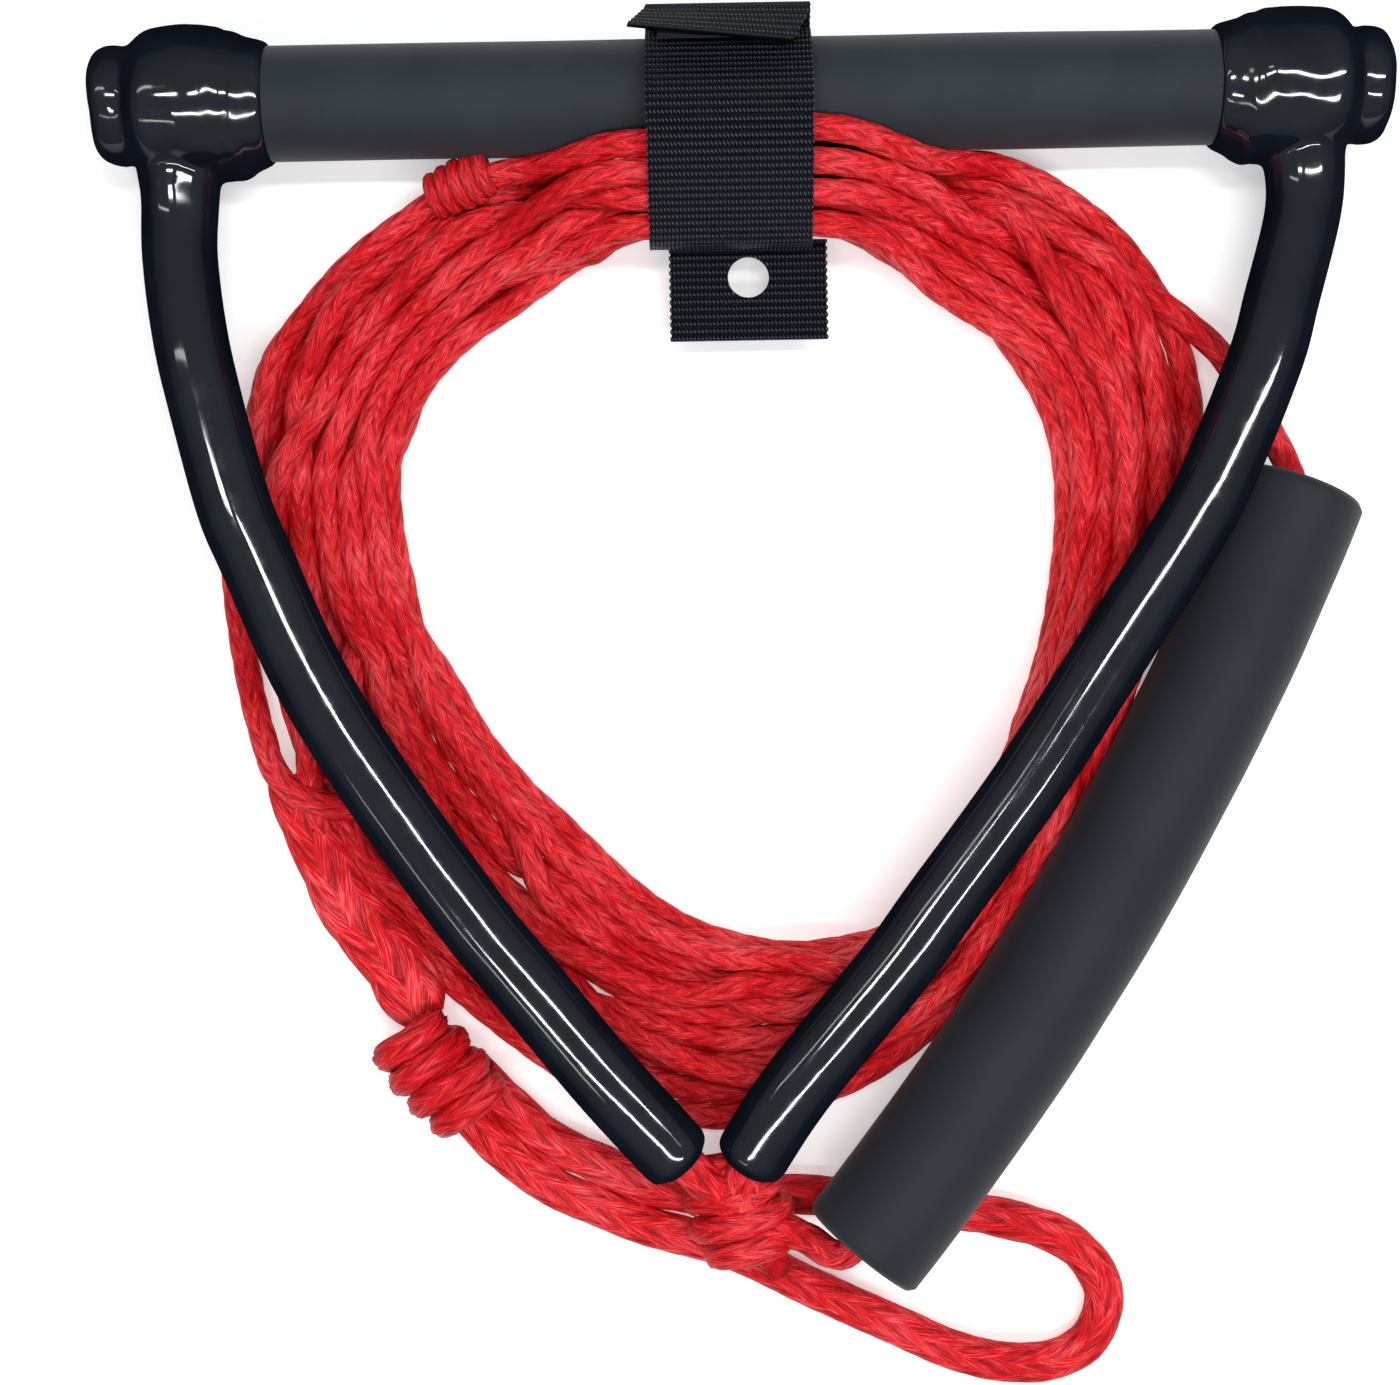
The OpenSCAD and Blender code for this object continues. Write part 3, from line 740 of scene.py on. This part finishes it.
def wraps(middle, heading, turns, rope_radius, wide, high, lean, swell=0.18):
    """Route of a rope wound round something along heading, with leaning turns and a fuller middle."""
    heading = np.asarray(heading, float) / np.linalg.norm(heading)
    side = np.cross((0, 0, 1), heading)
    side /= np.linalg.norm(side)
    up = np.cross(heading, side)
    steps = np.linspace(0, 1, int(turns * 28))
    angle = 2 * math.pi * turns * steps
    pitch = 1.86 * rope_radius
    fullness = 1 - swell + swell * np.sin(math.pi * steps)
    along_axis = (steps - 0.5) * turns * pitch + lean * np.cos(angle)
    return (
        np.asarray(middle)
        + along_axis[:, None] * heading
        + (wide * fullness * np.cos(angle))[:, None] * side
        + (high * fullness * np.sin(angle))[:, None] * up
    )


# ---- webbing ----------------------------------------------------------------------------------

ROW_GAP = 0.0019
LOOP_GAP = 0.0010


def webbing(name, line, x_low, x_high, material, closed=False):
    """A strip of knitted loop webbing. Its middle line is given as (y, z), and it runs across X."""
    dense = np.array([(0, y, z) for y, z in line])
    if len(line) > 2:
        dense = smooth(dense, 12, closed)
    if closed:
        dense = np.vstack([dense, dense[0]])
    length = along(dense)[-1]
    rows = max(8, int(length / 0.00032))
    columns = int((x_high - x_low) / 0.00035)
    path = resample(dense, rows + 1)
    if closed:
        path = path[:-1]
    tangent = np.roll(path, -1, axis=0) - np.roll(path, 1, axis=0) if closed else np.gradient(path, axis=0)
    tangent /= np.linalg.norm(tangent, axis=1)[:, None]
    out = np.column_stack([np.zeros(len(path)), tangent[:, 2], -tangent[:, 1]])
    s = np.arange(len(path)) * length / rows
    x = np.linspace(x_low, x_high, columns + 1)
    row = np.floor(s / ROW_GAP)[:, None]
    ridge = np.abs(np.sin(math.pi * s / ROW_GAP))[:, None] ** 0.7
    sway = 1.2 * np.sin(2 * math.pi * s[:, None] / ROW_GAP)
    loops = 0.5 + 0.5 * np.cos(2 * math.pi * (x[None, :] / LOOP_GAP + 0.5 * (row % 2)) + sway)
    relief = ridge * (0.45 + 0.55 * loops)
    edge = 0.00025 * np.sin(2 * math.pi * s / ROW_GAP)
    thick = STRAP_THICKNESS / 2
    sides = []
    for sign in (1, -1):
        reach = sign * (thick - 0.00022 + 0.00022 * relief)
        place = path[:, None, :] + reach[:, :, None] * out[:, None, :]
        place[:, :, 0] = x[None, :]
        place[:, 0, 0] -= edge
        place[:, -1, 0] += edge
        sides.append(place.reshape(-1, 3))
    count = len(path)
    wide = columns + 1
    faces = []
    corners = []
    last = count if closed else count - 1
    for i in range(last):
        n = (i + 1) % count
        after = s[i] + length / rows
        for k in range(columns):
            faces.append([i * wide + k, n * wide + k, n * wide + k + 1, i * wide + k + 1])
            corners.append([(x[k], s[i]), (x[k], after), (x[k + 1], after), (x[k + 1], s[i])])
    base = count * wide
    back = [[base + p for p in face][::-1] for face in faces]
    back_corners = [c[::-1] for c in corners]
    rim = []
    rim_corners = []
    for i in range(last):
        n = (i + 1) % count
        for k, flip in ((0, False), (columns, True)):
            face = [i * wide + k, base + i * wide + k, base + n * wide + k, n * wide + k]
            rim.append(face[::-1] if flip else face)
            rim_corners.append([(0, s[i])] * 4)
    if not closed:
        for i, flip in ((0, True), (count - 1, False)):
            for k in range(columns):
                face = [i * wide + k, base + i * wide + k, base + i * wide + k + 1, i * wide + k + 1]
                rim.append(face[::-1] if flip else face)
                rim_corners.append([(x[k], s[i])] * 4)
    return new_object(
        name, np.vstack(sides), faces + back + rim, material,
        np.array(corners + back_corners + rim_corners).reshape(-1, 2), {"depth": np.tile(relief.ravel(), 2)},
    )


def punched(obj, x, y, radius):
    """Cuts a round hole through a flat strip and closes its wall."""
    work = bmesh.new()
    work.from_mesh(obj.data)
    middle = Vector((x, y))
    inside = [v for v in work.verts if (v.co.xy - middle).length < radius]
    bmesh.ops.delete(work, geom=inside, context="VERTS")
    rim = [e for e in work.edges if e.is_boundary]
    for v in {v for e in rim for v in e.verts}:
        v.co.xy = middle + radius * (v.co.xy - middle).normalized()
    bmesh.ops.bridge_loops(work, edges=rim)
    work.to_mesh(obj.data)
    work.free()


def skewed(obj):
    """Turns the tab's free end askew, as a folded-back end lies."""
    reach = TAB_LENGTH * math.cos(TAB_LIFT)
    for v in obj.data.vertices:
        share = max(0.0, (TAB_HINGE[0] - v.co.y) / reach)
        v.co.y += share * (0.0007 - TAB_SKEW * (v.co.x - STRAP_X))
        v.co.x -= share * TAB_SHIFT


# ---- build ------------------------------------------------------------------------------------

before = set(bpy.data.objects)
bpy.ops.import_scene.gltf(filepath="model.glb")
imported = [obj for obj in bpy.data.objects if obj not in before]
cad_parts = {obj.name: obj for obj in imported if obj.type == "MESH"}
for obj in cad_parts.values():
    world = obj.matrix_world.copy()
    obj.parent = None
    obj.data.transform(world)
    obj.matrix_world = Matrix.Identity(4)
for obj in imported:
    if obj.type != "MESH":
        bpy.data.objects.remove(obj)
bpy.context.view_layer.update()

camera = bpy.data.objects.new("camera", bpy.data.cameras.new("camera"))
bpy.context.scene.collection.objects.link(camera)
camera.location = CAMERA_PLACE
camera.rotation_euler = (0, 0, CAMERA_ROLL)
camera.data.sensor_width = 36
camera.data.lens = 36 * CAMERA_PLACE[2] / CAMERA_WIDTH
camera.data.clip_start = 0.01
bpy.context.scene.camera = camera

red = rope_material()
foam = foam_material("charcoal_foam")
# Painted shade: the float is the grip's foam darkened to 0.62, standing in for the weaker light that falls on
# the float.
shaded_float_foam = foam_material("charcoal_foam_painted_shade", 0.62)
vinyl = vinyl_material()
black_web = webbing_material()

# The coiled line, with the strand that leaves it on the left and hooks through the end splice.
coil = wound_coil()
coil_route = smooth(np.vstack([coil[:-3], EYE_ROUTE]), 3)
coil_rope, coil_path = braided_rope("line_coiled", coil_route, ROPE_RADIUS, red)
mouth_route = smooth([*MOUTH_ROUTE, coil[2], coil[8]], 10)
mouth_rope, mouth_path = braided_rope("line_from_float", mouth_route, ROPE_RADIUS, red)
inside_float = [float_axis(s) for s in np.linspace(-0.49, 0.40, 10)]
run_route = smooth([*LOWER_ROUTE, *inside_float[1:]], 10)
run_rope, run_path = braided_rope(
    "line_in_float", run_route, ROPE_RADIUS, red, bulge=lambda share: 1 + 0.45 * np.exp(-share / 0.08),
)
left_bridle, _ = braided_rope("left_bridle", smooth(LEFT_BRIDLE, 12), BRIDLE_RADIUS, red)
right_bridle, _ = braided_rope("right_bridle", smooth(RIGHT_BRIDLE, 12), BRIDLE_RADIUS, red)

# The end: spliced rope, stopper knot and the long loop.
splice, _ = braided_rope(
    "end_splice_rope", smooth(SPLICE_ROUTE, 12), SPLICE_RADIUS, red, relief=0.11, flat=0.52, pitch=0.115,
    bulge=lambda share: (0.62 + 0.38 * share ** 0.6) * (1 - 0.4 * np.clip((share - 0.86) / 0.14, 0, 1) ** 2),
)
loop_rope, loop_path = braided_rope("end_loop_rope", smooth(LOOP_ROUTE, 10), LOOP_RADIUS, red, flat=0.85)
stopper_route = wraps(
    STOPPER_PLACE, STOPPER_HEADING, turns=3.6, rope_radius=KNOT_ROPE_RADIUS, wide=0.0088, high=0.0080,
    lean=0.0022,
)
stopper, _ = braided_rope("stopper_knot", stopper_route, KNOT_ROPE_RADIUS, red, relief=0.18)
bridle_wrap_route = wraps(
    BRIDLE_KNOT_PLACE, BRIDLE_KNOT_HEADING, turns=4.0, rope_radius=KNOT_ROPE_RADIUS, wide=0.0108, high=0.0085,
    lean=0.0014, swell=0.42,
)
bridle_wrap, _ = braided_rope("bridle_wrap", bridle_wrap_route, 0.95 * KNOT_ROPE_RADIUS, red, relief=0.18)
whipped = int(np.argmin(np.linalg.norm(coil_path[:, :2] - WHIPPING_PLACE, axis=1)))
whipping_route = wraps(
    coil_path[whipped], coil_path[whipped + 20] - coil_path[whipped - 20], turns=4.5,
    rope_radius=WHIPPING_RADIUS, wide=0.0052, high=0.0048, lean=0.0008, swell=0.15,
)
whipping, _ = braided_rope("whipping", whipping_route, WHIPPING_RADIUS, red)


ropes = (coil_rope, run_rope, left_bridle, right_bridle, splice, loop_rope, stopper, bridle_wrap, whipping)
for obj in ropes:
    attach(obj, "handle")
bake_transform(mouth_rope)
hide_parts("line_coil", "line_eye_run")
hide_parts("line_whipping")
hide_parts("line_mouth_run")
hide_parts("line_float_run")
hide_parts("end_splice")
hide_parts("end_knot")
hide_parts("end_loop")
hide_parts("bridle_knot")
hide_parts("left_bridle_rope")
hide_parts("right_bridle_rope")


def dipped_side(name, route, left):
    """One skin of vinyl over an end of the bar and its arm, lumpy on the ball and sagging under its skirt."""
    mirror = -1 if left else 1
    ball = turned_about_bar(name + "_ball", [(mirror * x, r) for x, r in DIP_OUTLINE], vinyl)
    path = resample(smooth(route, 8), 120)
    share = np.linspace(0, 1, len(path))
    tip = np.clip((share - 0.982) / 0.018, 0, 1)
    radii = ARM_RADIUS * np.sqrt(np.clip(1 - tip**4, 0.30, 1))
    radii = radii + ROOT_FLARE * np.exp(-share / 0.030)
    arm = swept(name + "_arm", path, radii, vinyl)
    skin = fused(name, [ball, arm], MELT_VOXEL, 6, vinyl)
    rounded(skin, resample(path, 900), np.interp(np.linspace(0, 1, 900), share, radii))

    def lumps(place):
        x, y, z = place
        on_ball = max(0.0, min(1.0, (abs(x) - 0.120) / 0.008)) * max(0.0, min(1.0, (0.030 + y) / 0.012))
        coarse = noise.noise(Vector((x, y, z)) * 85)
        fine = noise.noise(Vector((x + 3, y, z)) * 240)
        folds = math.sin(abs(x) * 1150 + 2.5 * noise.noise(Vector((x, y, z)) * 60))
        near_skirt = max(0.0, 1 - abs(abs(x) - 0.1285) / 0.007)
        sag = 0.0015 * max(0.0, 1 - abs(abs(x) - 0.1255) / 0.0065) * max(0.0, -y / 0.016)
        unevenness = 0.00012 * noise.noise(Vector((x, y, z)) * 45)
        return on_ball * (0.0007 * coarse + 0.0001 * fine + 0.0002 * folds * near_skirt + sag) + unevenness

    push_points(skin, lumps)
    settled(skin)
    return skin


left_skin = dipped_side("left_dip", LEFT_ARM, True)
right_skin = dipped_side("right_dip", RIGHT_ARM, False)
for skin, side in ((left_skin, "left"), (right_skin, "right")):
    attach(skin, "handle")
    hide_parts(side + "_collar", side + "_arm_coat")

# The foam grip, its surface made a little uneven.
grip_outline = [(-GRIP_HALF, 0.0112), (-GRIP_HALF, GRIP_RADIUS - 0.0002)]
for x in np.linspace(-GRIP_HALF + 0.0004, GRIP_HALF - 0.0004, 260):
    grip_outline.append((x, GRIP_RADIUS))
grip_outline += [(GRIP_HALF, GRIP_RADIUS - 0.0002), (GRIP_HALF, 0.0112)]
grip = turned_about_bar("grip_foam", grip_outline, foam)
push_points(grip, lambda p: 0.00022 * noise.noise(Vector((p.x * 20, p.y * 45, p.z * 45))) - 0.00012)
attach(grip, "handle")
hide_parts("grip_sleeve")


def float_mesh():
    """The bowed foam tube, with a bore right through and a softened rim at both ends."""
    sides = 96
    rim = 0.0012
    shares = np.linspace(-0.5, 0.5, 160)
    path = np.array([float_axis(s) for s in shares])
    across, up = frames(path)
    angle = 2 * math.pi * np.arange(sides) / sides
    ends = np.minimum(shares + 0.5, 0.5 - shares) * FLOAT_LENGTH
    outer = FLOAT_RADIUS - rim * np.clip(1 - ends / rim, 0, 1) ** 2
    inner = FLOAT_BORE + 0.6 * rim * np.clip(1 - ends / rim, 0, 1) ** 2
    points = []
    for radii in (outer, inner):
        for i, centre in enumerate(path):
            ring = np.cos(angle)[:, None] * across[i] + np.sin(angle)[:, None] * up[i]
            points.append(centre + radii[i] * ring)
    count = len(path)
    faces = []
    for k in range(sides):
        n = (k + 1) % sides
        for i in range(count - 1):
            faces.append([i * sides + k, i * sides + n, (i + 1) * sides + n, (i + 1) * sides + k])
            j = count + i
            faces.append([j * sides + n, j * sides + k, (j + 1) * sides + k, (j + 1) * sides + n])
        faces.append([k, count * sides + k, count * sides + n, n])
        outer_end, inner_end = (count - 1) * sides, (2 * count - 1) * sides
        faces.append([outer_end + n, inner_end + n, inner_end + k, outer_end + k])
    return new_object("float_foam", np.vstack(points), faces, shaded_float_foam)


float_foam = float_mesh()
push_points(float_foam, lambda p: 0.00025 * noise.noise(p * 38) - 0.0001)
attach(float_foam, "float")
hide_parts("float_tube")

# The keeper strap.
band = webbing("band_webbing", BAND_ROUTE, STRAP_X - STRAP_HALF, STRAP_X + STRAP_HALF, black_web, closed=True)
stub = webbing("band_stub_webbing", STUB_ROUTE, STRAP_X - STRAP_HALF, STRAP_X + STRAP_HALF, black_web)
tail_end = (TAIL_HINGE[0] - TAIL_LENGTH, TAIL_HINGE[1])
tail_root = (TAIL_HINGE[0] + TAIL_UNDER, TAIL_HINGE[1])
tail = webbing("tail_webbing", [tail_root, tail_end], TAIL_X - TAIL_HALF, TAIL_X + TAIL_HALF, black_web)
punched(tail, TAIL_X, HOLE_Y, HOLE_RADIUS)
tab_end = (TAB_HINGE[0] - TAB_LENGTH * math.cos(TAB_LIFT), TAB_HINGE[1] + TAB_LENGTH * math.sin(TAB_LIFT))
tab = webbing("tab_webbing", [TAB_HINGE, tab_end], STRAP_X - STRAP_HALF, STRAP_X + STRAP_HALF, black_web)
skewed(tab)
crease_ends = np.array([(STRAP_X - STRAP_HALF, *TAB_HINGE), (STRAP_X + STRAP_HALF, *TAB_HINGE)])
crease = swept("tab_crease", crease_ends, (CREASE_RADIUS, CREASE_RADIUS), black_web, 16)
for obj, node, body in (
    (band, "strap_band", "handle"), (stub, "strap_band", "handle"), (tail, "strap_tail", "tail"),
    (tab, "strap_tab", "tab"), (crease, "strap_tab", "tab"),
):
    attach(obj, body)
    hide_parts(node)

# Hidden CAD pieces that show through gaps.
metal = plain_material("drawn_aluminium", (0.62, 0.63, 0.66), 0.32, 1.0)
plastic = plain_material("black_plastic", (0.02, 0.02, 0.023), 0.5)
for node, material in (
    ("core_tube", metal), ("left_end_plug", plastic), ("right_end_plug", plastic),
    ("strap_hook_patch", plastic), ("left_rope_eye", red), ("right_rope_eye", red),
):
    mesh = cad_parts[node].data
    mesh.materials.clear()
    mesh.materials.append(material)
for obj in (*ropes, mouth_rope):
    settled(obj)

# Floor and light.
bpy.ops.mesh.primitive_plane_add(size=6, location=(0, -0.15, FLOOR_Z - 0.0002))
floor = bpy.context.object
floor.name = "floor"
pale = Shader("pale_floor")
pale.set(Base_Color=(0.86, 0.86, 0.86, 1), Roughness=0.9, Emission_Color=(1, 1, 1, 1), Emission_Strength=0.35)
floor.data.materials.append(pale.material)

world = bpy.data.worlds.new("soft_sky")
world.use_nodes = True
world.node_tree.nodes["Background"].inputs["Color"].default_value = (0.93, 0.96, 1.0, 1)
world.node_tree.nodes["Background"].inputs["Strength"].default_value = 0.22
bpy.context.scene.world = world


def strip_light(name, place, turn, wide, long, power):
    data = bpy.data.lights.new(name, "AREA")
    data.shape = "RECTANGLE"
    data.size = wide
    data.size_y = long
    data.energy = power
    lamp = bpy.data.objects.new(name, data)
    lamp.location = place
    lamp.rotation_euler = (0, 0, math.radians(turn))
    bpy.context.scene.collection.objects.link(lamp)


# Two rows of long tubes over the bar and past the knot, weaker at the far left: (name, x, y, length, power).
for light, x, y, long, power in (
    ("tube_bar_left", -0.40, 0.08, 0.24, 1.8), ("tube_bar_right", 0.46, 0.08, 1.10, 8.2),
    ("tube_knot", 0.18, -0.62, 1.40, 10), ("tube_bar_far", -1.05, 0.35, 1.00, 1.4),
    ("tube_knot_far", -1.05, -1.0, 1.00, 1.4),
):
    strip_light(light, (x, y, TUBE_HEIGHT), 90, TUBE_WIDTH, long, power)

bpy.context.scene.view_settings.view_transform = "Standard"
